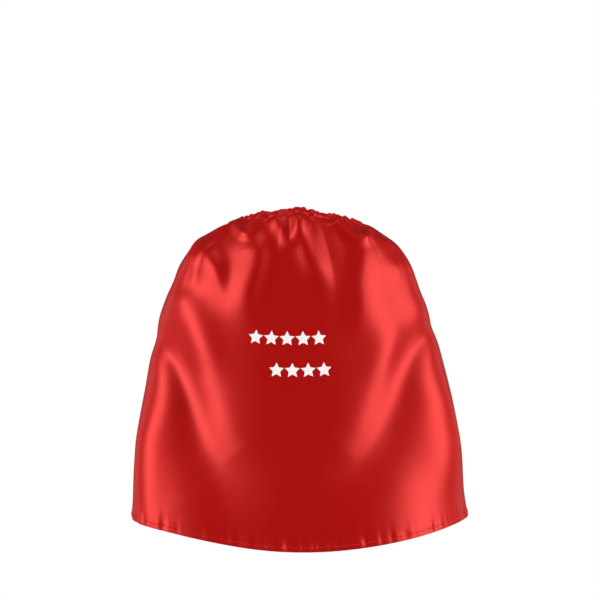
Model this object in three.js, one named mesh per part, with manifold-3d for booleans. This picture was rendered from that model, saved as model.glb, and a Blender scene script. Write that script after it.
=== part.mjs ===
// A child's satin dress-up cape, in the shape it takes when it is worn. Units are millimetres.
// The wearer faces +Y, +Z is up and the origin is the middle of the neck opening.
// Every piece of cloth is a patch of one draped surface: u runs across the cloth from the left
// front edge (-1) over the middle of the back (0) to the right front edge (+1), s is the distance
// down the cloth from the neckline, and n is the distance out of the cloth, away from the body.
import * as THREE from "three";
import { mergeVertices } from "three/addons/utils/BufferGeometryUtils.js";
import Module from "manifold-3d";

const wasm = await Module();
wasm.setup();

// Driving dimensions
const DROP = 470; // finished length of the cloth, neckline to hem
const SIDE_SHARE = 0.62; // share of the half width that lies behind the arms
const FRONT_TURN = 1.05; // how far the cloth turns inwards again from there, in radians
const GAP = 0.3; // clearance between pieces that touch
const CLOTH = 1.5; // thickness that stands in for the satin
const CASING_DEPTH = 12; // the turned-over channel round the neck
const CASING_THICK = 4.4;
const TUNNEL = [2.4, 9.6]; // the channel's inside, down from the neckline
const TUNNEL_THICK = 2;
const ELASTIC = [3.2, 8.8];
const ELASTIC_THICK = 1;
const TACK = [0.01, 0.02]; // from the elastic's end to the stitches across it, in u
const HEM_DEPTH = 8; // bottom hem, turned twice
const HEM_THICK = 2.4;
const EDGE_HEM = 0.018; // front edge hem, as a share of the half width
const EDGE_GAP = 0.0016; // clearance beside it, as a share of the half width
const THREAD = 0.7;
const SEAM_IN = 1.2; // from the hem's upper fold to its stitches
const SEAM_END = 0.985; // the hem's stitches stop at this share of the half width
const EDGE_SEAM = [0.9845, 0.9865]; // the front edge hem's stitches
const CASING_SEAM = [10.6, 11.3]; // the stitches that close the channel
const LABEL_SEAM = [8.4, 9.1]; // the stitches that hold the label
const COLUMNS = 40; // facets across the whole cloth
const STEP = 2 / COLUMNS; // the share of u that one of them spans
const ROWS = 22; // facets down it
const SWAY = 11; // the hem hangs this far to the right of the neck

// The cape's outlines: down the middle of the back, down the widest line over the shoulder
// and arm, and down the free front edge.
const line = (...points) =>
  new THREE.CatmullRomCurve3(points.map((p) => new THREE.Vector3(...p)));
const BACK = line(
  [0, -66, 20], [0, -79, 0], [0, -93, -42], [0, -103, -95], [0, -110, -160],
  [0, -121, -255], [0, -134, -350], [0, -147, -440],
);
const SIDE = line(
  [84, 0, 4], [110, 0, -5], [139, 0, -26], [160, 0, -55], [172, 0, -92],
  [190, 0, -132], [207, 0, -200], [220, 0, -295], [230, 0, -405],
);
const EDGE = line(
  [64, 42, -18], [88, 60, -45], [119, 74, -87], [149, 81, -138], [175, 82, -198],
  [198, 78, -270], [214, 72, -340], [224, 68, -406],
);

// Where the cloth is cut into the pieces that move: a level line below the shoulders, and an
// upright line on each side of the back.
const SHOULDER_Z = -80;
const BACK_HALF = 108;
const FAR = 1000; // larger than the cape

// Neck closure
const STRAP_HEIGHT = 14;
const STRAP_THICK = 2;
const PAD_HEIGHT = 11;
const PAD_THICK = 1.2;
const LAP_HALF = 20; // half the overlap of the straps, across the throat
// Where the closure's pieces start and end along the straps, as onStrap() counts
const INNER_STRAP = [0.01, 1.97];
const OUTER_STRAP = [0.01, 0.99];
const TAB = [1.01, 2];
const LOOP_PAD = [1.04, 1.93];
const HOOK_PAD = [1.07, 1.96];
const RISE_FROM = 0.1; // the outer strap starts to lift over the inner one here
const UPRIGHT_FROM = 0.9; // and both stand upright from here on
const LAP_START = new THREE.Vector3(LAP_HALF, 64, -25);
const STRAP_BEND = new THREE.Vector3(31, 64, -21); // where the strap turns to cross the throat
const OUTER_LIFT = STRAP_THICK + 2 * PAD_THICK + 3 * GAP; // outer strap over inner strap

// Printed stars, in two staggered rows on the back
const STAR_R = 10.5;
const STAR_WAIST = 0.5; // inner radius over outer radius
const STAR_THICK = 0.5;
const STAR_ROWS = [
  { count: 5, x: -54, pitch: 21.5, s: 184 },
  { count: 4, x: -26, pitch: 21.5, s: 227 },
];

const LABEL_WIDTH = 24;
const LABEL_LENGTH = 36;
const LABEL_THICK = 0.5;
const LABEL_GAP = 1.2; // clear of the facets of the cloth behind it
const LABEL_TOP = CASING_DEPTH + 2.5;

const mix = THREE.MathUtils.lerp;

// The middle of the cloth at (u, s).
function drape(u, s) {
  const v = THREE.MathUtils.clamp(s / DROP, 0, 1);
  const back = BACK.getPointAt(v);
  const side = SIDE.getPointAt(v);
  const edge = EDGE.getPointAt(v);
  const t = Math.abs(u);
  const p = new THREE.Vector3();
  if (t < SIDE_SHARE) {
    const angle = (Math.PI / 2) * (t / SIDE_SHARE);
    const round = Math.sin(angle);
    p.set(side.x * round, back.y * Math.cos(angle), mix(back.z, side.z, round * round));
  } else {
    const b = (t - SIDE_SHARE) / (1 - SIDE_SHARE);
    const forward = (edge.y * Math.sin(b * FRONT_TURN)) / Math.sin(FRONT_TURN);
    const level = mix(side.z, edge.z, THREE.MathUtils.smoothstep(b, 0, 1));
    p.set(mix(side.x, edge.x, b * b), forward, level);
  }
  p.x = p.x * Math.sign(u) + SWAY * v * v * v;
  return p;
}

// The cloth's outward direction at (u, s).
function outward(u, s) {
  const du = 0.004;
  const ds = 1;
  const across = drape(Math.min(u + du, 1), s).sub(drape(Math.max(u - du, -1), s));
  const down = drape(u, Math.min(s + ds, DROP)).sub(drape(u, Math.max(s - ds, 0)));
  return down.cross(across).normalize();
}

const onCloth = (u, s, n) => drape(u, s).addScaledVector(outward(u, s), n);

// A closed solid between two layers of a grid. place(i, j, k) gives the point at column i, row j
// of layer k, where layer 0 is the inner one.
function slab(columns, rows, place) {
  const points = [];
  const index = [];
  const at = (i, j, k) => (k * (rows + 1) + j) * (columns + 1) + i;
  for (const k of [0, 1])
    for (let j = 0; j <= rows; j++)
      for (let i = 0; i <= columns; i++) points.push(...place(i, j, k).toArray());
  const quad = (a, b, c, d) => index.push(a, b, c, a, c, d);
  for (let j = 0; j < rows; j++)
    for (let i = 0; i < columns; i++) {
      quad(at(i, j, 1), at(i, j + 1, 1), at(i + 1, j + 1, 1), at(i + 1, j, 1));
      quad(at(i, j, 0), at(i + 1, j, 0), at(i + 1, j + 1, 0), at(i, j + 1, 0));
    }
  for (let i = 0; i < columns; i++) {
    quad(at(i, 0, 0), at(i, 0, 1), at(i + 1, 0, 1), at(i + 1, 0, 0));
    quad(at(i, rows, 0), at(i + 1, rows, 0), at(i + 1, rows, 1), at(i, rows, 1));
  }
  for (let j = 0; j < rows; j++) {
    quad(at(0, j, 0), at(0, j + 1, 0), at(0, j + 1, 1), at(0, j, 1));
    quad(at(columns, j, 0), at(columns, j, 1), at(columns, j + 1, 1), at(columns, j + 1, 0));
  }
  const geometry = new THREE.BufferGeometry();
  geometry.setAttribute("position", new THREE.Float32BufferAttribute(points, 3));
  geometry.setIndex(index);
  return geometry;
}

// A patch of cloth between u[0] and u[1], s[0] and s[1], n[0] and n[1].
function patch(u, s, n, columns, rows) {
  return slab(columns, rows, (i, j, k) =>
    onCloth(mix(u[0], u[1], i / columns), mix(s[0], s[1], j / rows), n[k]),
  );
}

function toSolid(geometry) {
  const bare = geometry.clone();
  bare.deleteAttribute("normal");
  bare.deleteAttribute("uv");
  const merged = mergeVertices(bare);
  return new wasm.Manifold(
    new wasm.Mesh({
      numProp: 3,
      vertProperties: merged.attributes.position.array,
      triVerts: new Uint32Array(merged.index.array),
    }),
  );
}

function toGeometry(solid) {
  const mesh = solid.getMesh();
  const geometry = new THREE.BufferGeometry();
  geometry.setAttribute("position", new THREE.BufferAttribute(mesh.vertProperties, 3));
  geometry.setIndex(new THREE.BufferAttribute(mesh.triVerts, 1));
  geometry.computeVertexNormals();
  return geometry;
}

// The box from low to high, each [x, y, z].
function region(low, high) {
  const size = low.map((a, k) => high[k] - a);
  const box = new THREE.BoxGeometry(...size);
  return toSolid(box.translate(...low.map((a, k) => a + size[k] / 2)));
}

const half = GAP / 2;
const REGIONS = {
  yoke: region([-FAR, -FAR, SHOULDER_Z + half], [FAR, FAR, FAR]),
  back: region([half - BACK_HALF, -FAR, -FAR], [BACK_HALF - half, FAR, SHOULDER_Z - half]),
  left_wing: region([-FAR, -FAR, -FAR], [-BACK_HALF - half, FAR, SHOULDER_Z - half]),
  right_wing: region([BACK_HALF + half, -FAR, -FAR], [FAR, FAR, SHOULDER_Z - half]),
};

// Materials
const satin = new THREE.MeshStandardMaterial({ color: 0xb5121b, roughness: 0.35 });
const thread = new THREE.MeshStandardMaterial({ color: 0xc81e22, roughness: 0.6 });
const webbing = new THREE.MeshStandardMaterial({ color: 0xf0eeea, roughness: 0.8 });
const print = new THREE.MeshStandardMaterial({ color: 0xf6f2f2, roughness: 0.55 });
const grip = new THREE.MeshStandardMaterial({ color: 0xb01a20, roughness: 0.95 });
const label = new THREE.MeshStandardMaterial({ color: 0xf3f1ee, roughness: 0.6 });

const cape = new THREE.Group();

function add(name, geometry, material) {
  if (!geometry.getAttribute("normal")) geometry.computeVertexNormals();
  const mesh = new THREE.Mesh(geometry, material);
  mesh.name = name;
  cape.add(mesh);
}

// Cuts a patch of cloth along the lines between the moving pieces. names maps a region to a node.
function addCut(names, geometry, material) {
  const whole = toSolid(geometry);
  for (const [part, name] of Object.entries(names))
    add(name, toGeometry(whole.intersect(REGIONS[part])), material);
}

// The gathered channel round the neck, its stitching, and the elastic inside it, which a row of
// stitches holds at each end. The tunnel runs out through both end faces.
function neckCasing() {
  const face = CASING_THICK / 2;
  const full = toSolid(patch([-1, 1], [0, CASING_DEPTH], [-face, face], COLUMNS, 3));
  const deep = TUNNEL_THICK / 2;
  const past = 1 + STEP;
  const tunnel = toSolid(patch([-past, past], TUNNEL, [-deep, deep], COLUMNS + 2, 1));
  add("neck_casing", toGeometry(full.subtract(tunnel)), satin);
  const band = ELASTIC_THICK / 2;
  const end = 1 - STEP;
  add("neck_elastic", patch([-end, end], ELASTIC, [-band, band], COLUMNS - 2, 1), webbing);
  const lift = [face + GAP, face + GAP + THREAD];
  add("casing_stitch", patch([-1, 1], CASING_SEAM, lift, COLUMNS, 1), thread);
  const tack = [end - TACK[1], end - TACK[0]];
  add("left_elastic_tack", patch([-tack[1], -tack[0]], ELASTIC, lift, 1, 1), thread);
  add("right_elastic_tack", patch(tack, ELASTIC, lift, 1, 1), thread);
}

// The satin itself, from the casing to the hem.
function clothPanels() {
  const inner = 1 - EDGE_HEM - EDGE_GAP;
  const rows = [CASING_DEPTH + GAP, DROP - HEM_DEPTH - GAP];
  addCut(
    {
      yoke: "yoke_panel",
      back: "back_panel",
      left_wing: "left_wing_panel",
      right_wing: "right_wing_panel",
    },
    patch([-inner, inner], rows, [-CLOTH / 2, CLOTH / 2], COLUMNS, ROWS),
    satin,
  );
}

// The bottom hem with its row of stitches.
function bottomHem() {
  const face = HEM_THICK / 2;
  const named = (suffix) => ({
    back: "back_" + suffix,
    left_wing: "left_wing_" + suffix,
    right_wing: "right_wing_" + suffix,
  });
  const turned = patch([-1, 1], [DROP - HEM_DEPTH, DROP], [-face, face], COLUMNS, 1);
  addCut(named("hem"), turned, satin);
  const lift = [face + GAP, face + GAP + THREAD];
  const top = DROP - HEM_DEPTH + SEAM_IN;
  const row = patch([-SEAM_END, SEAM_END], [top, top + THREAD], lift, COLUMNS, 1);
  addCut(named("hem_stitch"), row, thread);
}

// The narrow hem down one front edge, with its row of stitches. side is -1 (left) or 1 (right).
function edgeHem(side, label) {
  const face = HEM_THICK / 2;
  const names = (suffix) => ({
    yoke: label + "_yoke_" + suffix,
    [label + "_wing"]: label + "_wing_" + suffix,
  });
  const span = (a, b) => (side > 0 ? [a, b] : [-b, -a]);
  const rows = [CASING_DEPTH + GAP, DROP - HEM_DEPTH - GAP];
  const turned = patch(span(1 - EDGE_HEM, 1), rows, [-face, face], 1, ROWS);
  addCut(names("edge_hem"), turned, satin);
  const lift = [face + GAP, face + GAP + THREAD];
  const row = patch(span(...EDGE_SEAM), [rows[0] + 2, rows[1] - 2], lift, 1, ROWS);
  addCut(names("edge_stitch"), row, thread);
}

// A point on the right-hand strap. along is 0 at the casing, 1 where the straight overlap begins
// and 2 at its far end, down is measured from its top edge and out lifts it off the throat. The
// strap leaves the casing in line with its end face and turns upright on the way.
function onStrap(along, down, out) {
  const root = drape(1, 0);
  const curve = new THREE.QuadraticBezierCurve3(root, STRAP_BEND, LAP_START);
  const t = Math.min(along, 1);
  const p = curve.getPoint(t);
  const way = curve.getTangent(t).setZ(0).normalize();
  p.x -= Math.max(along - 1, 0) * 2 * LAP_HALF;
  const upright = THREE.MathUtils.smoothstep(along, 0, UPRIGHT_FROM);
  const fall = drape(1, CASING_DEPTH).sub(root).normalize();
  fall.lerp(new THREE.Vector3(0, 0, -1), upright).normalize();
  const normal = fall.clone().cross(way).normalize();
  return p.addScaledVector(fall, down).addScaledVector(normal, out);
}

// A strip of strap. lift(along) gives the strip's middle, out of the throat.
function strip(side, along, down, thick, lift, columns) {
  return slab(columns, 1, (i, j, k) => {
    const share = side > 0 ? i / columns : 1 - i / columns;
    const a = mix(along[0], along[1], share);
    const p = onStrap(a, mix(down[0], down[1], j), lift(a) + (k - 0.5) * thick);
    p.x *= side;
    return p;
  });
}

// Two short straps that close in front of the throat with hook-and-loop pads.
function closure() {
  const tall = [0, STRAP_HEIGHT];
  const margin = (STRAP_HEIGHT - PAD_HEIGHT) / 2;
  const pad = [margin, STRAP_HEIGHT - margin];
  const flat = () => 0;
  const rise = (a) => OUTER_LIFT * THREE.MathUtils.smoothstep(a, RISE_FROM, 1);
  add("left_strap", strip(-1, INNER_STRAP, tall, STRAP_THICK, flat, 16), satin);
  add("right_strap", strip(1, OUTER_STRAP, tall, STRAP_THICK, rise, 10), satin);
  add("hook_tab", strip(1, TAB, tall, STRAP_THICK, rise, 4), satin);
  const loopLift = () => STRAP_THICK / 2 + GAP + PAD_THICK / 2;
  const hookLift = () => loopLift() + PAD_THICK + GAP;
  add("loop_pad", strip(-1, LOOP_PAD, pad, PAD_THICK, loopLift, 1), grip);
  add("hook_pad", strip(1, HOOK_PAD, pad, PAD_THICK, hookLift, 1), grip);
}

// How many millimetres of cloth one unit of u spans at the middle of the back.
function acrossPerU(s) {
  const du = 0.02;
  return drape(du, s).sub(drape(-du, s)).length() / (2 * du);
}

// A five-pointed star printed on the back, centred x across and s down the cloth.
function star(x, s) {
  const points = 5;
  const across = acrossPerU(s);
  const outline = [];
  for (let i = 0; i < 2 * points; i++) {
    const angle = (i * Math.PI) / points;
    const r = i % 2 ? STAR_R * STAR_WAIST : STAR_R;
    outline.push([(x + r * Math.sin(angle)) / across, s - r * Math.cos(angle)]);
  }
  const base = CLOTH / 2 + GAP;
  const layers = [base, base + STAR_THICK];
  const vertices = layers.flatMap((n) =>
    [[x / across, s], ...outline].flatMap(([u, down]) => onCloth(u, down, n).toArray()),
  );
  const ring = 2 * points;
  const index = [];
  for (let i = 0; i < ring; i++) {
    const a = 1 + i;
    const b = 1 + ((i + 1) % ring);
    const top = ring + 1;
    index.push(0, a, b, top, top + b, top + a);
    index.push(a, top + a, top + b, a, top + b, b);
  }
  const geometry = new THREE.BufferGeometry();
  geometry.setAttribute("position", new THREE.Float32BufferAttribute(vertices, 3));
  geometry.setIndex(index);
  return geometry;
}

function emblem() {
  let number = 1;
  for (const row of STAR_ROWS)
    for (let i = 0; i < row.count; i++) {
      add("emblem_star_" + number, star(row.x + i * row.pitch, row.s), print);
      number += 1;
    }
}

// A blank care label that hangs inside the back of the neck.
function careLabel() {
  const inner = -CLOTH / 2 - LABEL_GAP - LABEL_THICK;
  const hang = slab(4, 3, (i, j, k) => {
    const s = LABEL_TOP + (LABEL_LENGTH * j) / 3;
    return onCloth(((i / 4 - 0.5) * LABEL_WIDTH) / acrossPerU(s), s, inner + k * LABEL_THICK);
  });
  add("care_label", hang, label);
  const u = LABEL_WIDTH / 2 / acrossPerU(CASING_DEPTH);
  const lift = [CASING_THICK / 2 + GAP, CASING_THICK / 2 + GAP + THREAD];
  add("label_stitch", patch([-u, u], LABEL_SEAM, lift, 4, 1), thread);
}

neckCasing();
clothPanels();
bottomHem();
edgeHem(-1, "left");
edgeHem(1, "right");
closure();
emblem();
careLabel();

export default cape;
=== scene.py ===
"""A child's red satin dress-up cape, as it hangs from the wearer's shoulders.

Lengths are in millimetres until mesh_piece() turns them into metres. Every piece of cloth is a
patch of one draped surface: u runs across the cloth from the left front edge (-1) over the middle
of the back (0) to the right front edge (1), and s is the distance down it from the neckline.
"""
import math

import bpy
import numpy as np
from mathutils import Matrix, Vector


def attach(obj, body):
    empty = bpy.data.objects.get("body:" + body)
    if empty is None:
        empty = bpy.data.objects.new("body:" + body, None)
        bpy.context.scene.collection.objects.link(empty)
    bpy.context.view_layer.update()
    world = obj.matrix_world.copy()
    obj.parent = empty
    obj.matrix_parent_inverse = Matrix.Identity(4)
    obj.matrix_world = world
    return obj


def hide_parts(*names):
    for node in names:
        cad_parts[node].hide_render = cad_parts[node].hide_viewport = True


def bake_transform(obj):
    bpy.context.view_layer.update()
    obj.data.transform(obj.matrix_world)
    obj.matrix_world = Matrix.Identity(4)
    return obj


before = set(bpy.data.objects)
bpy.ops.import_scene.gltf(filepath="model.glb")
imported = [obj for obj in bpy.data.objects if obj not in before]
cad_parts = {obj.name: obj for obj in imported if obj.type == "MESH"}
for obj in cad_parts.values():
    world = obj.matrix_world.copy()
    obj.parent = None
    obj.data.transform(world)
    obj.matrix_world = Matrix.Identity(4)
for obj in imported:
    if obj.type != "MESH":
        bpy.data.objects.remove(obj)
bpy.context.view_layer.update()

MM = 0.001

# The cloth
DROP = 470  # from the neckline to the hem
SIDE_SHARE = 0.62  # share of the half width that lies behind the arms
FRONT_TURN = 1.05  # how far the cloth turns inwards again from there, in radians
SWAY = 11  # the hem hangs this far to the right of the neck
NECK_HALF = 165  # half the gathered neckline
BODY_HALF = 360  # half the cloth's width round the body
HEM_HALF = 370  # and at the hem
CLOTH_THICK = 0.45
LAP_OVER = 0.006  # each half goes this far past the middle, as a share of the half width
LAP_SINK = 0.15  # and sinks this much under the other half
WORD = {-1: "left", 1: "right"}

# The hems
HEM = 7.5  # the bottom hem's height
HEM_THICK = 1.5
HEM_ROUND = 0.9  # radius of its two edges
RIM_SHARE = 0.12  # of the thickness that a rounded band keeps at its very edge
HEM_SEAM = 1.4  # from its upper edge to its stitches
GROOVE_DEEP = 0.28  # the groove that its stitches draw in
GROOVE_HALF = 0.45
EDGE_HEM = 0.016  # front edge hem, as a share of the half width
EDGE_ROUND = 0.13 * EDGE_HEM
EDGE_SEAM = 0.8 * EDGE_HEM

# Stitches
STITCH = 2.2  # their length
STITCH_PITCH = 3.1
STITCH_R = 0.3
STRAP_STITCH_R = 0.22
STITCH_SUNK = 0.12  # how far the hem's stitches are pulled into it

# The gathered channel round the neck, and the elastic in it
CASING = 12  # its height
CASING_END = CASING + 0.4
CASING_HALF = 1.7  # half its thickness over the elastic
CASING_RIM = 0.28  # and at its lower edge
CASING_ROUND = 1.6
CASING_TAPER = 7  # it gets thinner from here down
CASING_SEAM = CASING - 1.6
CASING_SEAM_LIFT = 0.55
DRAWN_IN = 0.85  # the elastic draws the channel's stitches this much closer together
ELASTIC_TOP = 3.4
ELASTIC_BOTTOM = 8.6
ELASTIC_THICK = 1
ELASTIC_ROUND = 0.4
ELASTIC_END = 0.99  # as a share of the half width
TACK_U = (0.985, 0.981)  # the zigzag of stitches that holds the elastic's end
TACK_TOP = 2.6
TACK_STEP = 0.8
TACK_TURNS = 9

# The print: five stars over four, as (count, first x, s)
STAR_R = 10.5
STAR_WAIST = 0.5
STAR_POINTS = 5
STAR_THICK = 0.15
STAR_SUNK = 0.1
STAR_PITCH = 21.5
STAR_ROWS = ((5, -54, 184), (4, -26, 227))

# The closure. Along a strap, 0 is where it leaves the channel, 1 the start of the lap across the
# throat, and 2 its end.
STRAP_HEIGHT = 14
STRAP_THICK = 2
STRAP_LENGTH = 45  # of each of those two stretches, for spacing stitches
STRAP_ROUND = 0.8
STRAP_SEAM = 1.6  # from its edges to its stitches
UPRIGHT_FROM = 0.9  # it leans with the cloth at first, and is upright from here on
RISE_FROM = 0.1  # the outer strap starts to rise over the inner one
INNER_END = 1.97
PAD_HEIGHT = 11
PAD_THICK = 1.2
PAD_ROUND = 0.5
PAD_END_ROUND = 0.02  # as a share of the strap
PAD_GRAIN = 0.09
PAD_GRAIN_ALONG = 150
PAD_GRAIN_DOWN = 3.9
LOOP_PAD = (1.04, 1.93)
HOOK_PAD = (1.07, 1.96)
GAP = 0.3
LAP_HALF = 20
LAP_START = (20, 64, -25)
STRAP_BEND = (31, 64, -21)  # the middle point that shapes the curve from the channel to there
OUTER_LIFT = STRAP_THICK + 2 * PAD_THICK + 3 * GAP
LOOP_LIFT = STRAP_THICK / 2 + GAP + PAD_THICK / 2
HOOK_LIFT = LOOP_LIFT - OUTER_LIFT + PAD_THICK + GAP

# The label
LABEL_WIDTH = 24
LABEL_LENGTH = 36
LABEL_THICK = 0.3
LABEL_TOP = CASING - 2.2
LABEL_SEAM = CASING - 3.2
LABEL_SEAM_LIFT = 1.25
LABEL_CLEAR = 1.5  # from the deepest gather behind it
LABEL_SWING = 4.5  # its lower end hangs this much further in
LABEL_CURVE = 0.004  # how strongly it curves across
LABEL_BEND = ((0, -0.0715, 0.0095), (0, -0.078, 0.001))  # from and to, in metres

# How fine the meshes are. The rows down the cloth are given as their start and then, for each
# band, its end and its count, and are finest at the gathers and at the hem.
SHOULDER_ROW = 60
CLOTH_ROWS = (CASING - 1, (SHOULDER_ROW, 46), (DROP - 24, 130), (DROP - 2, 16))
EDGE_ROWS = (CASING, (SHOULDER_ROW, 30), (DROP - 0.6, 120))
CLOTH_COLUMNS = 188
HEM_COLUMNS = 236
HEM_ROWS = 9
EDGE_COLUMNS = 5
CASING_COLUMNS = 560
CASING_ROWS = 16
ELASTIC_COLUMNS = 400
ELASTIC_ROWS = 6
STRAP_COLUMNS = 48
STRAP_ROWS = 12
PAD_COLUMNS = 70
PAD_ROWS = 24
LABEL_COLUMNS = 30
LABEL_ROWS = 44
STAR_STEPS = 6  # along each side of a star
STAR_RINGS = 5
EDGE_STEPS = 6  # over a rounded edge
STITCH_SIDES = 6

# The picture, in metres but for the camera's sensor
CAMERA_AWAY = 3.0
CAMERA_AT = (0.007, -0.104)  # x and z
PICTURE_WIDTH = 0.84
SENSOR = 36
LIT_POINT = (0, 0, -0.2)
SKY_LIGHT = 0.1
SOFTBOXES = (  # name, azimuth, elevation, distance, size, power
    ("left_softbox", -66, 12, 2.4, (1.5, 2.3), 68),
    ("right_softbox", 66, 12, 2.4, (1.5, 2.3), 68),
    ("back_left", -125, 5, 2.4, (1.2, 1.6), 4),
    ("back_right", 125, 5, 2.4, (1.2, 1.6), 4),
    ("overhead", 0, 82, 2.0, (1.0, 0.6), 6),
)
FLOOR_R = 2.0
FLOOR_Z = -1.1
FLOOR_SIDES = 96


def smooth(x, low, high):
    t = np.clip((np.asarray(x, float) - low) / max(high - low, 1e-9), 0, 1)
    return t * t * (3 - 2 * t)


class Line:
    """A smooth line through a few points, read by the share of its length."""

    def __init__(self, *points):
        p = np.array(points, float)
        knots = np.r_[0, np.cumsum(np.sqrt(np.linalg.norm(np.diff(p, axis=0), axis=1)))]
        slope = np.gradient(p, knots, axis=0)
        t = np.linspace(0, knots[-1], 2000)
        i = np.clip(np.searchsorted(knots, t, side="right") - 1, 0, len(p) - 2)
        step = (knots[i + 1] - knots[i])[:, None]
        f = (t - knots[i])[:, None] / step
        near = p[i] * (1 + 2 * f) * (1 - f) ** 2 + slope[i] * step * f * (1 - f) ** 2
        far = p[i + 1] * f * f * (3 - 2 * f) - slope[i + 1] * step * f * f * (1 - f)
        self.points = near + far
        run = np.r_[0, np.cumsum(np.linalg.norm(np.diff(self.points, axis=0), axis=1))]
        self.length = run[-1]
        self.share = run / run[-1]

    def at(self, share):
        axes = range(self.points.shape[1])
        return np.stack([np.interp(share, self.share, self.points[:, k]) for k in axes], -1)


# The cape's outlines: down the middle of the back, down the widest line over the shoulder and
# arm, and down the free front edge.
BACK = Line(
    (0, -66, 20), (0, -79, 0), (0, -93, -42), (0, -103, -95), (0, -110, -160),
    (0, -121, -255), (0, -134, -350), (0, -147, -440),
)
SIDE = Line(
    (84, 0, 4), (110, 0, -5), (139, 0, -26), (160, 0, -55), (172, 0, -92),
    (190, 0, -132), (207, 0, -200), (220, 0, -295), (230, 0, -405),
)
EDGE = Line(
    (64, 42, -18), (88, 60, -45), (119, 74, -87), (149, 81, -138), (175, 82, -198),
    (198, 78, -270), (214, 72, -340), (224, 68, -406),
)


def base(u, s):
    """The smooth draped surface, before its folds."""
    u, s = np.broadcast_arrays(np.asarray(u, float), np.asarray(s, float))
    v = np.clip(s / DROP, 0, 1)
    back, side, edge = BACK.at(v), SIDE.at(v), EDGE.at(v)
    t = np.abs(u)
    angle = (np.pi / 2) * np.minimum(t / SIDE_SHARE, 1)
    behind = np.stack([
        side[..., 0] * np.sin(angle),
        back[..., 1] * np.cos(angle),
        back[..., 2] + (side[..., 2] - back[..., 2]) * np.sin(angle) ** 2,
    ], -1)
    b = np.clip((t - SIDE_SHARE) / (1 - SIDE_SHARE), 0, 1)
    ahead = np.stack([
        side[..., 0] + (edge[..., 0] - side[..., 0]) * b * b,
        edge[..., 1] * np.sin(b * FRONT_TURN) / np.sin(FRONT_TURN),
        side[..., 2] + (edge[..., 2] - side[..., 2]) * smooth(b, 0, 1),
    ], -1)
    p = np.where((t < SIDE_SHARE)[..., None], behind, ahead)
    p[..., 0] = p[..., 0] * np.sign(u) + SWAY * v ** 3
    return p


def facing(surface, u, s):
    """The outward direction of a surface at (u, s)."""
    du, ds = 0.002, 0.5
    across = surface(np.minimum(u + du, 1), s) - surface(np.maximum(u - du, -1), s)
    down = surface(u, np.minimum(s + ds, DROP)) - surface(u, np.maximum(s - ds, 0))
    n = np.cross(down, across)
    return n / np.linalg.norm(n, axis=-1, keepdims=True)


# Folds. Each runs down a path of (x, z) points on the back, as seen from behind. height is out of
# the cloth, so a valley's is negative. left and right are its widths on each side. All three are
# read evenly along the path. fade is the share of its length over which it starts and ends.
def fold(*path, height, left, right, fade=(0.2, 0.3)):
    return {"path": Line(*path), "height": height, "left": left, "right": right, "fade": fade}


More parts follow.
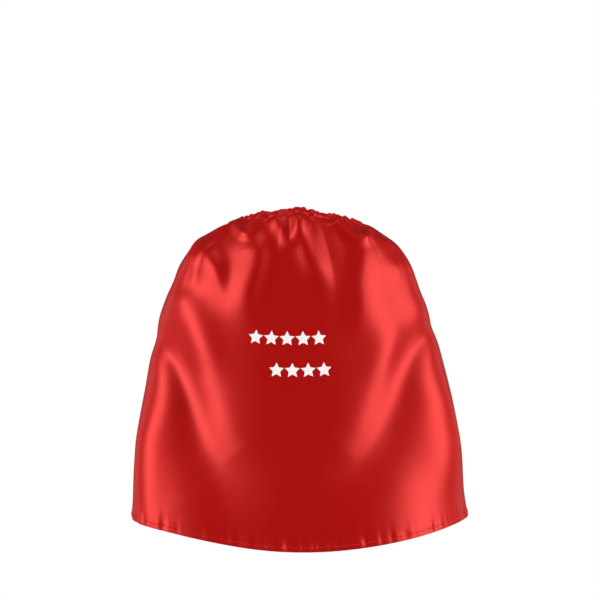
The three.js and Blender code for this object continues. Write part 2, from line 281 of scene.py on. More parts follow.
FOLDS = [
    # left side: the long valley that runs in from the arm, the ridge above it, and the two ridges
    # down the outline, one broad and one narrow
    fold((-205, -135), (-183, -165), (-169, -190), (-158, -215), (-149, -240), (-140, -268),
         (-130, -300), (-112, -335), (-96, -362), (-86, -390), (-82, -430),
         height=(-3, -13, -15, -14, -15, -15), left=(14, 16, 26, 42, 54, 60),
         right=(50, 42, 32, 34, 42, 80, 110), fade=(0.12, 0.0)),
    fold((-170, -75), (-156, -100), (-143, -124), (-131, -150), (-118, -185), (-105, -225),
         height=(10, 8, 4), left=(30, 30), right=(22, 26), fade=(0.25, 0.4)),
    fold((-196, -200), (-202, -250), (-206, -330), (-208, -400), (-208, -480), height=(8, 12, 12),
         left=(11, 13), right=(28, 80), fade=(0.4, 0.0)),
    fold((-193, -215), (-195, -260), (-196, -330), (-194, -400), (-190, -470), height=(5, 6),
         left=(16, 18), right=(16, 20), fade=(0.35, 0.0)),
    # left shoulder: the cloth hangs in a V between the shoulder and the neck
    fold((-150, -32), (-124, -42), (-109, -60), (-101, -84), (-97, -108), height=(9, 9, 5),
         left=(28, 24), right=(20, 14, 7), fade=(0.2, 0.5)),
    fold((-130, -35), (-146, -55), (-158, -78), (-168, -100), (-177, -122),
         height=(5, 4), left=(10, 10), right=(14, 14), fade=(0.25, 0.5)),
    fold((-50, -4), (-50, -50), (-58, -78), (-64, -100), (-67, -125), (-70, -150),
         height=(9, 9), left=(22, 30), right=(12, 18), fade=(0.25, 0.4)),
    # the neck: three short pleats that sag, and the long one that falls to the right
    fold((-84, 4), (-74, -10), (-64, -15), (-56, -2), (-50, 14), height=(4.5, 4.5), left=(7, 7),
         right=(6, 6), fade=(0.1, 0.1)),
    fold((-26, 14), (-17, -8), (-8, -26), (2, -10), (11, 10), height=(4, 4), left=(10, 10),
         right=(8, 8), fade=(0.1, 0.1)),
    fold((52, 8), (64, -6), (78, -18), (90, -22), (98, -12), (100, 2), height=(5.5, 5),
         left=(9, 8), right=(6, 6), fade=(0.1, 0.2)),
    fold((0, 16), (6, -5), (16, -35), (28, -65), (42, -92), (52, -120), height=(8, 8),
         left=(10, 20), right=(14, 24), fade=(0.0, 0.5)),
    # right shoulder: the fold over the arm, the edge of the shoulder and the low swelling below it
    fold((104, -8), (98, -35), (94, -58), (90, -80), (92, -106), (90, -138), (84, -175),
         height=(6.5, 6.5), left=(18, 22), right=(42, 36), fade=(0.1, 0.4)),
    fold((135, -35), (146, -55), (158, -78), (167, -100), (175, -122), (182, -150),
         height=(5, 5), left=(18, 18), right=(10, 10), fade=(0.25, 0.35)),
    fold((150, -115), (134, -150), (118, -190), (104, -230), height=(3, 3), left=(30, 26),
         right=(18, 18), fade=(0.5, 0.5)),
    # right side: the valley from the arm to the hem, and the ridge down the outline
    fold((202, -118), (186, -142), (168, -170), (151, -205), (138, -245), (119, -290), (90, -332),
         (66, -362), (54, -390), (50, -430), height=(-7, -10, -11, -11, -10, -8),
         left=(30, 28, 28, 30, 34, 66, 110), right=(11, 18, 30, 42, 50, 54), fade=(0.15, 0.0)),
    fold((186, -165), (198, -210), (208, -258), (216, -310), (221, -345), (224, -385),
         height=(6, 11, 14), left=(28, 32, 34), right=(11, 13), fade=(0.4, 0.4)),
]
PATH_SAMPLES = 60
FOOT_STEPS = 5
FOOT_EASE = 0.6


def fold_heights(x, z):
    """What the folds on the back add at (x, z).

    Each fold's height at a point is read at the foot of the point on the fold's path. The foot
    is found by a few steps along the path from its nearest sample.
    """
    total = np.zeros_like(x)
    share = np.linspace(0, 1, PATH_SAMPLES)
    for f in FOLDS:
        path = f["path"].at(share)
        way = np.gradient(path, axis=0)
        way /= np.linalg.norm(way, axis=1, keepdims=True)
        gap = (x[..., None] - path[:, 0]) ** 2 + (z[..., None] - path[:, 1]) ** 2
        t = share[np.argmin(gap, axis=-1)]
        for _ in range(FOOT_STEPS):
            px, pz, wx, wz = (np.interp(t, share, column) for column in (*path.T, *way.T))
            dx, dz = x - px, z - pz
            t = np.clip(t + FOOT_EASE * (dx * wx + dz * wz) / f["path"].length, 0, 1)
        on_right = wx * dz > wz * dx
        read = (f["height"], f["left"], f["right"])
        height, left, right = (np.interp(t, np.linspace(0, 1, len(v)), v) for v in read)
        width = np.where(on_right, right, left)
        grow, end = f["fade"]
        along = smooth(t, 0, grow) * (1 - smooth(t, 1 - end, 1))
        total += height * along * np.exp(-(dx * dx + dz * dz) / width ** 2)
    return total


# Sine waves, each (wavelength, height, phase), and pleats, each (spacing, height, reach)
DRIFT_WAVES = ((61, 3.2, 0.7), (29, 1.5, 2.1), (17, 0.6, 4.4))
PLEATS = ((7.4, 1.7, 10), (14.2, 4.4, 40), (25, 3.2, 60))
HEM_WAVES = ((8.3, 0.36, 0.4), (12.7, 0.55, 1.9), (19.3, 0.6, 5.0), (6.1, 0.2, 2.2))
SIDE_WAVES = ((74, 3.6, 1.8), (47, 2.0, 3.1), (121, 2.4, 0.2))
CASING_WAVES = ((7.4, 0.45, 0.3), (4.9, 0.225, 1.7), (15.5, 0.36, 0.9))
PLEAT_ROUND = 0.01  # rounds the valleys between pleats
PLEAT_MEAN = 0.62  # taken off, so that pleats go in as well as out
PLEAT_UNEVEN = 0.45  # how much longer or shorter than its reach a pleat may be
PLEAT_FADE = 1.4
FLAT_AT = -3  # the flat stretch at the middle of the back
FLAT_HALF_WIDTH = 13
FLAT_SHARE = 0.85
CALM_FROM = 0.93  # the gathers calm down towards the front edges, as a share of the half width
CALM_SHARE = 0.7
PUCKER_REACH = 8
BACK_FOLDS_END = (0.60, 0.74)  # shares of the half width between which one kind of fold takes
SIDE_FOLDS_GROW = (0.62, 0.78)  # over from the other


def waves(x, terms):
    """A sum of sine waves along x."""
    return sum(h * np.sin(2 * np.pi * x / length + phase) for length, h, phase in terms)


def pleats(x, s, spacing, height, reach):
    """Pleats that run down from the neckline: rounded ridges with sharp valleys between."""
    drift = waves(x, DRIFT_WAVES) * spacing / 10
    ridge = np.sqrt(np.sin(np.pi * (x + drift) / spacing) ** 2 + PLEAT_ROUND) - PLEAT_MEAN
    length = reach * (1 + PLEAT_UNEVEN * np.sin(x / 11.3 + spacing))
    return height * ridge * np.exp(-((s / length) ** PLEAT_FADE))


def gathers(u, s):
    """The pleats that the elastic draws in, which merge and die out down the cloth."""
    x = u * NECK_HALF
    strength = 0.85 + 0.3 * np.sin(x / 13.7 + 1.1) * np.sin(x / 31 + 0.3)
    flat_middle = 1 - FLAT_SHARE * np.exp(-(((x - FLAT_AT) / FLAT_HALF_WIDTH) ** 4))
    edge_calm = 1 - CALM_SHARE * smooth(np.abs(u), CALM_FROM, 1)
    height = sum(pleats(x, s, *terms) for terms in PLEATS)
    return height * strength * flat_middle * edge_calm


def hem_pucker(u, s):
    """The small puckers that the hem's stitches draw in."""
    x = u * HEM_HALF
    swell = 0.9 + 0.5 * np.sin(x / 37 + 0.8) + 0.3 * np.sin(x / 11 + 2)
    return waves(x, HEM_WAVES) * swell * np.exp(-np.abs(DROP - HEM - s) / PUCKER_REACH)


def side_folds(u, s):
    """The upright folds of the parts that hang over the arms and open at the front."""
    t = np.abs(u)
    there = smooth(t, *SIDE_FOLDS_GROW)
    v = s / DROP
    shape = waves(t * BODY_HALF + 26 * v, SIDE_WAVES)
    return there * shape * smooth(v, 0.08, 0.5) * (1 - 0.5 * smooth(t, 0.94, 1))


def soft_unevenness(u, s):
    """Broad, shallow unevenness all over, drawn out down the cloth."""
    x = u * BODY_HALF
    a = np.sin(x / 19 + 1.2 * np.sin(s / 83) + 0.5) * np.sin(s / 61 + x / 140 + 1.0)
    b = np.sin(x / 11.3 + 0.9 * np.sin(s / 47 + 2) + 2.5) * np.sin(s / 39 - x / 90)
    return (0.45 * a + 0.2 * b) * smooth(s, 10, 60)


def cloth(u, s):
    """The cloth with all its folds."""
    p = base(u, s)
    n = facing(base, u, s)
    behind = 1 - smooth(np.abs(u), *BACK_FOLDS_END)
    height = fold_heights(p[..., 0], p[..., 2]) * behind * smooth(s, -4, 18)
    height = height + gathers(u, s) + hem_pucker(u, s) + side_folds(u, s) + soft_unevenness(u, s)
    return p + n * height[..., None]


# Meshes
def mesh_piece(name, points, faces, *materials):
    mesh = bpy.data.meshes.new(name)
    mesh.from_pydata((np.asarray(points).reshape(-1, 3) * MM).tolist(), [], faces)
    mesh.polygons.foreach_set("use_smooth", [True] * len(mesh.polygons))
    for material in materials:
        mesh.materials.append(material)
    piece = bpy.data.objects.new(name, mesh)
    bpy.context.scene.collection.objects.link(piece)
    return piece


def on_cloth(u, s):
    return cloth(u, s), facing(cloth, u, s)


def slab(name, place, across, down, outer, inner, *materials):
    """A closed slab between two distances out of a surface, over a grid of across and down.

    place(across, down) gives the surface's points and outward directions. The first material is
    on the outside and the second, if any, on the rest.
    """
    aa, dd = np.meshgrid(across, down)
    p, n = place(aa, dd)
    far, near = np.broadcast_to(outer, aa.shape), np.broadcast_to(inner, aa.shape)
    points = np.stack([p + n * far[..., None], p + n * near[..., None]])
    top, bottom = np.arange(points.size // 3).reshape(2, len(down), len(across))

    def quads(*corners):
        return np.stack([corner.ravel() for corner in corners], 1)

    faces = np.concatenate([
        quads(top[:-1, :-1], top[1:, :-1], top[1:, 1:], top[:-1, 1:]),
        quads(bottom[:-1, :-1], bottom[:-1, 1:], bottom[1:, 1:], bottom[1:, :-1]),
        quads(top[0, :-1], top[0, 1:], bottom[0, 1:], bottom[0, :-1]),
        quads(top[-1, :-1], bottom[-1, :-1], bottom[-1, 1:], top[-1, 1:]),
        quads(top[:-1, 0], bottom[:-1, 0], bottom[1:, 0], top[1:, 0]),
        quads(top[:-1, -1], top[1:, -1], bottom[1:, -1], bottom[:-1, -1]),
    ])
    piece = mesh_piece(name, points, faces.tolist(), *materials)
    layer = (len(down) - 1) * (len(across) - 1)
    smooth_faces = np.arange(len(faces)) < 2 * layer
    piece.data.polygons.foreach_set("use_smooth", smooth_faces)
    if len(materials) > 1:
        index = (np.arange(len(faces)) >= layer).astype(int)
        piece.data.polygons.foreach_set("material_index", index)
    return piece


def spread(start, end, count, crowd):
    """Numbers from start to end, crowded within that distance of both ends."""
    inside = np.linspace(start + crowd, end - crowd, count)
    ease = crowd * (1 - np.cos(np.linspace(0, np.pi / 2, EDGE_STEPS)))[:-1]
    return np.concatenate([start + ease, inside, end - ease[::-1]])


def bands(start, *ends):
    """Numbers from start on, in evenly spaced bands, each given as (its end, its count)."""
    rows = [[start]]
    for end, count in ends:
        rows.append(np.linspace(rows[-1][-1], end, count)[1:])
    return np.concatenate(rows)


def spots(across, down):
    """(across, down) pairs, where either may be one number for all."""
    return np.stack(np.broadcast_arrays(across, down), 1)


def rounded(x, radius):
    """The thickness share of a band whose two edges are rounded."""
    t = np.clip(np.minimum(x - x[0], x[-1] - x) / radius, 0, 1)
    return RIM_SHARE + (1 - RIM_SHARE) * np.sqrt(1 - (1 - t) ** 2)


def stitches(name, place, starts, ends, lift, material, radius=STITCH_R):
    """A row of short stitches on a surface, each with tapered ends, from each start to each end.

    starts and ends are arrays of (across, down), and lift is the distance out of the surface.
    """
    shares = np.array([0, 0.12, 0.5, 0.88, 1])
    girth = radius * np.array([0.3, 0.85, 1, 0.85, 0.3])
    sink = 0.9 * (radius - girth)  # the thin ends go down into the cloth
    sides = STITCH_SIDES
    at = starts[:, None, :] + (ends - starts)[:, None, :] * shares[:, None]
    p, n = place(at[..., 0], at[..., 1])
    p = p + n * (np.broadcast_to(lift, len(starts))[:, None] - sink)[..., None]
    way = p[:, -1:] - p[:, :1]
    way = way / np.linalg.norm(way, axis=-1, keepdims=True)
    beside = np.cross(way, n)
    turn = 2 * np.pi * np.arange(sides) / sides
    ring = beside[:, :, None] * np.cos(turn)[:, None] + n[:, :, None] * np.sin(turn)[:, None]
    points = p[:, :, None] + ring * girth[:, None, None]
    rings = len(shares)
    faces = []
    for first in range(0, len(starts) * rings * sides, rings * sides):
        for i in range(rings - 1):
            for j in range(sides):
                a, b = first + i * sides + j, first + i * sides + (j + 1) % sides
                faces.append((a, a + sides, b + sides, b))
        faces.append(tuple(first + j for j in range(sides)))
        last = first + (rings - 1) * sides
        faces.append(tuple(last + j for j in reversed(range(sides))))
    return mesh_piece(name, points, faces, material)


def stands_for(piece, nodes, body=None):
    """Hides the parts that a piece replaces and, if it is rigid, attaches it to its body."""
    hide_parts(*nodes)
    if body:
        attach(piece, body)
    return piece


def bend(piece):
    """Bakes a piece's placement into its mesh."""
    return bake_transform(piece)


def past_middle(side, shares):
    """u values on one side, in rising order, and how far each column is sunk.

    The column past the middle tucks under the other half, so that no seam shows.
    """
    u = side * np.r_[-LAP_OVER, shares]
    sunk = np.r_[LAP_SINK, np.zeros(len(shares))]
    return u[::side], sunk[::side]


# Materials
def new_material(name):
    material = bpy.data.materials.new(name)
    material.use_nodes = True
    nodes = material.node_tree.nodes
    shader = nodes["Principled BSDF"]
    return material, nodes, material.node_tree.links, shader


def add_node(nodes, kind, **inputs):
    node = nodes.new(kind)
    for name, value in inputs.items():
        node.inputs[name.replace("_", " ")].default_value = value
    return node


def noise(nodes, links, scale, detail):
    """Noise of one scale all over the piece, as a value from 0 to 1."""
    where = nodes.new("ShaderNodeTexCoord")
    texture = add_node(nodes, "ShaderNodeTexNoise", Scale=scale, Detail=detail)
    links.new(where.outputs["Object"], texture.inputs["Vector"])
    return texture.outputs["Fac"]


def colour_by(value, nodes, links, shader, low, high):
    tint = nodes.new("ShaderNodeMix")
    tint.data_type = "RGBA"
    tint.inputs["A"].default_value = (*low, 1)
    tint.inputs["B"].default_value = (*high, 1)
    links.new(value, tint.inputs["Factor"])
    links.new(tint.outputs["Result"], shader.inputs["Base Color"])


def bump_by(value, nodes, links, shader, strength, distance):
    bump = add_node(nodes, "ShaderNodeBump", Strength=strength, Distance=distance)
    links.new(value, bump.inputs["Height"])
    links.new(bump.outputs["Normal"], shader.inputs["Normal"])


def satin(name, colour, deep, roughness, metallic):
    """Satin: a dye that tints the gloss, a fine weave, and slight unevenness."""
    material, nodes, links, shader = new_material(name)
    shader.inputs["Metallic"].default_value = metallic
    shader.inputs["Specular IOR Level"].default_value = 0.45
    shader.inputs["Specular Tint"].default_value = (1, 0.55, 0.5, 1)
    patches = noise(nodes, links, scale=9, detail=3)
    colour_by(patches, nodes, links, shader, low=deep, high=colour)
    rough = add_node(nodes, "ShaderNodeMapRange", To_Min=roughness - 0.03, To_Max=roughness + 0.04)
    links.new(patches, rough.inputs["Value"])
    links.new(rough.outputs["Result"], shader.inputs["Roughness"])
    weave = noise(nodes, links, scale=1400, detail=1)
    bump_by(weave, nodes, links, shader, strength=0.06, distance=0.0002)
    return material


def plain(name, colour, roughness, grain, relief):
    """A matte material with slight colour variation and a fine grain."""
    material, nodes, links, shader = new_material(name)
    shader.inputs["Roughness"].default_value = roughness
    fine = noise(nodes, links, grain, detail=3)
    colour_by(fine, nodes, links, shader, low=[0.85 * c for c in colour], high=colour)
    bump_by(fine, nodes, links, shader, strength=0.5, distance=relief)
    return material


SATIN = satin("red_satin", colour=(0.47, 0.0022, 0.0015), deep=(0.42, 0.0015, 0.001),
              roughness=0.39, metallic=0.25)
REVERSE = satin("red_satin_reverse", colour=(0.46, 0.008, 0.010), deep=(0.40, 0.006, 0.008),
                roughness=0.65, metallic=0.1)
ELASTIC = plain("white_elastic", (0.75, 0.75, 0.74), roughness=0.8, grain=1800, relief=0.0002)
LOOP_TAPE = plain("red_loop_tape", (0.35, 0.01, 0.012), roughness=0.95, grain=1600, relief=0.0005)
HOOK_TAPE = plain("red_hook_tape", (0.40, 0.012, 0.014), roughness=0.55, grain=1100, relief=0.0004)
LABEL = plain("white_label", (0.86, 0.85, 0.83), roughness=0.45, grain=1500, relief=0.0001)
PRINT = plain("white_print", (0.98, 0.90, 0.90), roughness=0.5, grain=900, relief=0.00005)
THREAD = plain("red_thread", (0.55, 0.02, 0.022), roughness=0.55, grain=2500, relief=0.0001)


# The cape
def cape_half(side):
    """Half of the satin cloth, with its hems and their stitches."""
    word = WORD[side]
    inner_u = np.r_[0, 0.001, np.linspace(0.004, 1 - EDGE_HEM / 2, CLOTH_COLUMNS)]
    rows = bands(*CLOTH_ROWS)
    u, sunk = past_middle(side, inner_u)
    half = CLOTH_THICK / 2 - sunk
    piece = slab(word + "_cloth", on_cloth, u, rows, half, -half, SATIN, REVERSE)
    panels = ("back_panel", "right_wing_panel") if side > 0 else ("yoke_panel", "left_wing_panel")
    stands_for(piece, panels)
    bend(piece)
    trims = [bottom_hem(side), edge_hem(side), *hem_stitches(side), edge_stitches(side)]
    return piece, trims


def hem_nodes(side, ending):
    """What a bottom hem or its stitches replace: the right half's stand for the back's too."""
    return [f"{WORD[side]}_wing_{ending}"] + ([f"back_{ending}"] if side > 0 else [])


def bottom_hem(side):
    inner_u = np.r_[0, 0.001, np.linspace(0.003, 1, HEM_COLUMNS)]
    rows = spread(DROP - HEM, DROP, HEM_ROWS, HEM_ROUND)
    groove = GROOVE_DEEP * np.exp(-((rows - DROP + HEM - HEM_SEAM) / GROOVE_HALF) ** 2)
    u, sunk = past_middle(side, inner_u)
    half = (HEM_THICK / 2 * rounded(rows, HEM_ROUND) - groove)[:, None] - sunk
    piece = slab(WORD[side] + "_hem", on_cloth, u, rows, half, -half, SATIN)
    return bend(stands_for(piece, hem_nodes(side, "hem")))


def edge_hem(side):
    word = WORD[side]
    shares = spread(1 - EDGE_HEM, 1, EDGE_COLUMNS, EDGE_ROUND)
    rows = bands(*EDGE_ROWS)
    u = (side * shares)[::side]
    half = (HEM_THICK / 2 * rounded(shares, EDGE_ROUND))[::side]
    piece = slab(word + "_edge_hem_band", on_cloth, u, rows, half, -half, SATIN)
    nodes = [word + "_yoke_edge_hem", word + "_wing_edge_hem"]
    return bend(stands_for(piece, nodes))


def hem_stitches(side):
    """The bottom hem's stitches, on the outside and on the inside."""
    start = np.arange(0.004, 0.975, STITCH_PITCH / HEM_HALF)
    end = start + STITCH / HEM_HALF
    row = DROP - HEM + HEM_SEAM
    pieces = []
    for face, way in (("outer", 1), ("inner", -1)):
        piece = stitches(f"{WORD[side]}_hem_stitches_{face}", on_cloth, spots(side * start, row),
                         spots(side * end, row), way * (HEM_THICK / 2 - STITCH_SUNK), THREAD)
        stands_for(piece, hem_nodes(side, "hem_stitch"))
        pieces.append(bend(piece))
    return pieces


def edge_stitches(side):
    word = WORD[side]
    start = np.arange(CASING + 2, DROP - 10, STITCH_PITCH)
    column = side * (1 - EDGE_SEAM)
    piece = stitches(word + "_edge_stitches", on_cloth, spots(column, start),
                     spots(column, start + STITCH), HEM_THICK / 2, THREAD)
    nodes = [word + "_yoke_edge_stitch", word + "_wing_edge_stitch"]
    return bend(stands_for(piece, nodes))


def print_stars():
    """The printed stars, each a thin star of rings on the folded cloth."""
    corners = np.arange(2 * STAR_POINTS + 1)
    radius = np.where(corners % 2, STAR_R * STAR_WAIST, STAR_R)
    angle = corners * np.pi / STAR_POINTS
    corner = np.stack([radius * np.sin(angle), -radius * np.cos(angle)], 1)
    share = np.arange(STAR_STEPS)[:, None] / STAR_STEPS
    sides = [a + (b - a) * share for a, b in zip(corner[:-1], corner[1:])]
    outline = np.concatenate(sides)
    count = len(outline)
    flat = outline[None] * (np.arange(1, STAR_RINGS + 1) / STAR_RINGS)[:, None, None]
    flat = np.concatenate([np.zeros((1, 2)), flat.reshape(-1, 2)])
    points, faces, first = [], [], 0
    for x, s in star_centres():
        across = across_per_u(s)
        p, n = on_cloth((x + flat[:, 0]) / across, s + flat[:, 1])
        points += [p + n * (CLOTH_THICK / 2 + STAR_THICK), p + n * (CLOTH_THICK / 2 - STAR_SUNK)]
        layer = len(flat)
        for j in range(count):
            k = (j + 1) % count
            faces.append((first, first + 1 + k, first + 1 + j))
            faces.append((first + layer, first + layer + 1 + j, first + layer + 1 + k))
            for r in range(STAR_RINGS - 1):
                a, b = 1 + r * count + j, 1 + r * count + k
                faces.append((first + a, first + b, first + b + count, first + a + count))
                a, b = a + layer, b + layer
                faces.append((first + a, first + a + count, first + b + count, first + b))
            rim = first + 1 + (STAR_RINGS - 1) * count
            faces.append((rim + j, rim + k, rim + k + layer, rim + j + layer))
        first += 2 * layer
    piece = mesh_piece("star_print", np.concatenate(points), faces, PRINT)
    stars = [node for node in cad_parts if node.startswith("emblem_star_")]
    return stands_for(piece, stars, "cape_back")


def star_centres():
    for count, x, s in STAR_ROWS:
        for i in range(count):
            yield x + i * STAR_PITCH, s


def across_per_u(s):
    """How many millimetres of cloth one unit of u spans at the middle of the back."""
    du = 0.02
    return np.linalg.norm(base(du, s) - base(-du, s), axis=-1) / (2 * du)


# The neck
def on_casing(u, s):
    """The gathered channel: its top edge rises a little over each pleat, and more at the end of
    the flat stretch in the middle."""
    p, n = on_cloth(u, np.maximum(s, 0))
    x = u * NECK_HALF
    flat_end = 3 * smooth(x, -20, 8) * (1 - smooth(x, 10, 15))
    p[..., 2] += waves(x, CASING_WAVES) * np.exp(-s / 3) + flat_end * np.exp(-s / 6)
    return p, n


def neck():
    """The channel, its stitches, and the elastic with its two bar tacks."""
    rows = spread(0, CASING_END, CASING_ROWS, CASING_ROUND)
    top = np.sqrt(1 - (1 - np.clip(rows / CASING_HALF, 0, 1)) ** 2)
    half = CASING_RIM + CASING_HALF * top * (1 - smooth(rows, CASING_TAPER, CASING_END))
    half = half[:, None]
    u = np.linspace(-1, 1, CASING_COLUMNS)
    casing = slab("neck_casing_gathered", on_casing, u, rows, half, -half, SATIN)
    stands_for(casing, ["neck_casing"], "cape_back")

    start = np.arange(-0.985, 0.98, STITCH_PITCH / NECK_HALF * DRAWN_IN)
    end = start + STITCH / NECK_HALF * DRAWN_IN
    seam = stitches("casing_stitches", on_casing, spots(start, CASING_SEAM),
                    spots(end, CASING_SEAM), CASING_SEAM_LIFT, THREAD)
    stands_for(seam, ["casing_stitch"], "cape_back")

    u = np.linspace(-ELASTIC_END, ELASTIC_END, ELASTIC_COLUMNS)
    rows = spread(ELASTIC_TOP, ELASTIC_BOTTOM, ELASTIC_ROWS, ELASTIC_ROUND)
    half = (ELASTIC_THICK / 2 * rounded(rows, ELASTIC_ROUND))[:, None]
    elastic = slab("elastic_band", on_casing, u, rows, half, -half, ELASTIC)
    stands_for(elastic, ["neck_elastic"], "cape_back")

    turns = np.arange(TACK_TURNS)
    start = np.where(turns % 2, TACK_U[1], TACK_U[0])
    end = np.where(turns % 2, TACK_U[0], TACK_U[1])
    down = TACK_TOP + TACK_STEP * turns
    for side, word in WORD.items():
        tack = stitches(word + "_bar_tack", on_casing, spots(side * start, down),
                        spots(side * end, down + TACK_STEP), CASING_HALF, THREAD)
        stands_for(tack, [word + "_elastic_tack"], "cape_back")


# The closure
def on_strap(side):
    """The surface of the strap on one side: a curve to the throat, then straight across it."""
    root = base(1, 0)
    fall_start = base(1, CASING) - root
    fall_start = fall_start / np.linalg.norm(fall_start)
    bend_at, lap = np.array(STRAP_BEND, float), np.array(LAP_START, float)

    def place(along, down):
        t = np.clip(along, 0, 1)[..., None]
        p = root * (1 - t) ** 2 + bend_at * 2 * t * (1 - t) + lap * t * t
        way = (bend_at - root) * (1 - t) + (lap - bend_at) * t
        way[..., 2] = 0
        way /= np.linalg.norm(way, axis=-1, keepdims=True)
        p[..., 0] -= np.maximum(along - 1, 0) * 2 * LAP_HALF
        upright = smooth(along, 0, UPRIGHT_FROM)[..., None]
        fall = fall_start * (1 - upright) + np.array([0, 0, -1]) * upright
        fall /= np.linalg.norm(fall, axis=-1, keepdims=True)
        n = np.cross(fall, way)
        n /= np.linalg.norm(n, axis=-1, keepdims=True)
        p = p + fall * down[..., None]
        if side > 0:
            p = p + n * (OUTER_LIFT * smooth(along, RISE_FROM, 1))[..., None]
        mirror = np.array([side, 1, 1])
        return p * mirror, n * mirror

    return place


def strap_band(name, side, start, end, node):
    """A length of strap with rounded edges and a row of stitches along both."""
    place = on_strap(side)
    along = np.linspace(start, end, STRAP_COLUMNS)[::side]
    down = spread(0, STRAP_HEIGHT, STRAP_ROWS, STRAP_ROUND)
    half = (STRAP_THICK / 2 * rounded(down, STRAP_ROUND))[:, None]
    piece = slab(name, place, along, down, half, -half, SATIN)
    stands_for(piece, [node])
    length = STRAP_LENGTH * (end - start)
    first = start + (end - start) * np.arange(0.03, 0.95, STITCH_PITCH / length)
    last = first + (end - start) * STITCH / length
    parts = [piece]
    for row in (STRAP_SEAM, STRAP_HEIGHT - STRAP_SEAM):
        for way in (-1, 1):
            seam = stitches(f"{name}_stitches_{len(parts) - 1}", place, spots(first, row),
                            spots(last, row), way * STRAP_THICK / 2, THREAD, STRAP_STITCH_R)
            parts.append(seam)
    return parts


def tape_pad(name, side, ends, lift, material):
    """A pad of hook or loop tape on a strap, with a grainy face."""
    margin = (STRAP_HEIGHT - PAD_HEIGHT) / 2
    along = spread(*ends, PAD_COLUMNS, PAD_END_ROUND)[::side]
    down = spread(margin, STRAP_HEIGHT - margin, PAD_ROWS, PAD_ROUND)
    aa, dd = np.meshgrid(along, down)
    grain = PAD_GRAIN * np.sin(aa * PAD_GRAIN_ALONG) * np.sin(dd * PAD_GRAIN_DOWN)
    half = PAD_THICK / 2 * rounded(down, PAD_ROUND)[:, None] + grain
    return slab(name, on_strap(side), along, down, lift + half, lift - half, material)


def closure():
    for side, end in ((-1, INNER_END), (1, 1)):
        word = WORD[side]
        for part in strap_band(word + "_strap_band", side, 0, end, word + "_strap"):
            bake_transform(part)
    for part in strap_band("hook_tab_band", 1, 1, 2, "hook_tab"):
        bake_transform(part)
    loop = tape_pad("loop_tape_pad", -1, LOOP_PAD, LOOP_LIFT, LOOP_TAPE)
    stands_for(loop, ["loop_pad"], "left_strap")
    hook = tape_pad("hook_tape_pad", 1, HOOK_PAD, HOOK_LIFT, HOOK_TAPE)
    stands_for(hook, ["hook_pad"], "hook_tab")


# The label
def care_label():
    """A plain satin ribbon label that hangs inside the back of the neck."""
    x = np.linspace(-LABEL_WIDTH / 2, LABEL_WIDTH / 2, LABEL_COLUMNS)
    across = np.linspace(-LABEL_WIDTH / 2, LABEL_WIDTH / 2, 25)[:, None]
    down = np.linspace(0, LABEL_LENGTH, LABEL_ROWS)

    def place(x, down):
        s = LABEL_TOP + down
        per_u = across_per_u(s)
        deepest = gathers(across / per_u[:, 0], s[:, 0]).min(axis=0)
        clear = np.minimum(deepest, 0)[:, None] - LABEL_CLEAR
        hang = LABEL_SWING * smooth(down, 6, LABEL_LENGTH)
        curve = LABEL_CURVE * x * x * smooth(down, 5, LABEL_LENGTH)
        p, n = base(x / per_u, s), facing(base, x / per_u, s)
        return p + n * (clear - hang - curve)[..., None], n

    half = LABEL_THICK / 2
    piece = slab("care_label_ribbon", place, x, down, half, -half, LABEL)
    stands_for(piece, ["care_label"])
    start, stop = LABEL_BEND
    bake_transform(piece)

    half_u = LABEL_WIDTH / 2 / NECK_HALF
    start = np.arange(-half_u, half_u, STITCH_PITCH / NECK_HALF)
    seam = stitches("label_stitches", on_casing, spots(start, LABEL_SEAM),
                    spots(start + STITCH / NECK_HALF, LABEL_SEAM), LABEL_SEAM_LIFT, THREAD)
    stands_for(seam, ["label_stitch"], "cape_back")


def cape():
    star_print = print_stars()
    for side in WORD:
        half, trims = cape_half(side)
        if side < 0:
            trims.append(star_print)


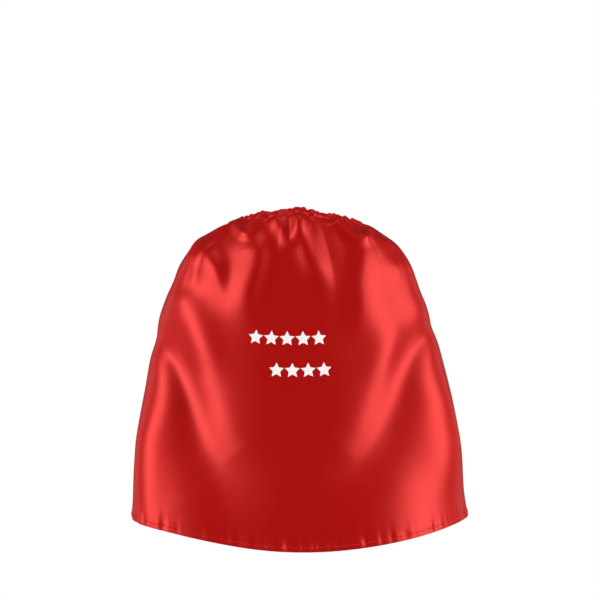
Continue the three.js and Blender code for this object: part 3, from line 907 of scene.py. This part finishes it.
# Camera, lights and floor
def aim_camera():
    """Level with the middle of the back, and straight behind it."""
    scene = bpy.context.scene
    camera = bpy.data.objects.new("camera", bpy.data.cameras.new("camera"))
    camera.data.sensor_width = SENSOR
    camera.data.lens = SENSOR * CAMERA_AWAY / PICTURE_WIDTH
    x, z = CAMERA_AT
    camera.location = (x, -CAMERA_AWAY, z)
    camera.rotation_euler = (math.pi / 2, 0, 0)
    scene.collection.objects.link(camera)
    scene.camera = camera


def softbox(name, azimuth, elevation, away, size, power):
    light = bpy.data.lights.new(name, "AREA")
    light.shape = "RECTANGLE"
    light.size, light.size_y = size
    light.energy = power
    box = bpy.data.objects.new(name, light)
    a, e = math.radians(azimuth), math.radians(elevation)
    way = Vector((math.sin(a) * math.cos(e), -math.cos(a) * math.cos(e), math.sin(e)))
    box.location = Vector(LIT_POINT) + way * away
    box.rotation_euler = way.to_track_quat("Z", "Y").to_euler()
    bpy.context.scene.collection.objects.link(box)


def sky():
    """White to the camera, and dim to everything else."""
    world = bpy.data.worlds.new("studio")
    bpy.context.scene.world = world
    world.use_nodes = True
    nodes, links = world.node_tree.nodes, world.node_tree.links
    white = (1, 1, 1, 1)
    seen = nodes["Background"]
    seen.inputs["Color"].default_value = white
    dim = add_node(nodes, "ShaderNodeBackground", Color=white, Strength=SKY_LIGHT)
    path = nodes.new("ShaderNodeLightPath")
    pick = nodes.new("ShaderNodeMixShader")
    links.new(path.outputs["Is Camera Ray"], pick.inputs["Fac"])
    links.new(dim.outputs["Background"], pick.inputs[1])
    links.new(seen.outputs["Background"], pick.inputs[2])
    links.new(pick.outputs["Shader"], nodes["World Output"].inputs["Surface"])


def lay_floor():
    angles = np.linspace(0, 2 * math.pi, FLOOR_SIDES, endpoint=False)
    ring = [(FLOOR_R * math.cos(a), FLOOR_R * math.sin(a), FLOOR_Z) for a in angles]
    mesh = bpy.data.meshes.new("floor")
    mesh.from_pydata(ring, [], [list(range(FLOOR_SIDES))])
    mesh.materials.append(plain("pale_floor", (0.95, 0.95, 0.95), roughness=0.8, grain=3, relief=0))
    piece = bpy.data.objects.new("floor", mesh)
    bpy.context.scene.collection.objects.link(piece)


cape()
neck()
closure()
care_label()
bpy.context.scene.view_settings.view_transform = "Standard"
aim_camera()
for terms in SOFTBOXES:
    softbox(*terms)
sky()
lay_floor()
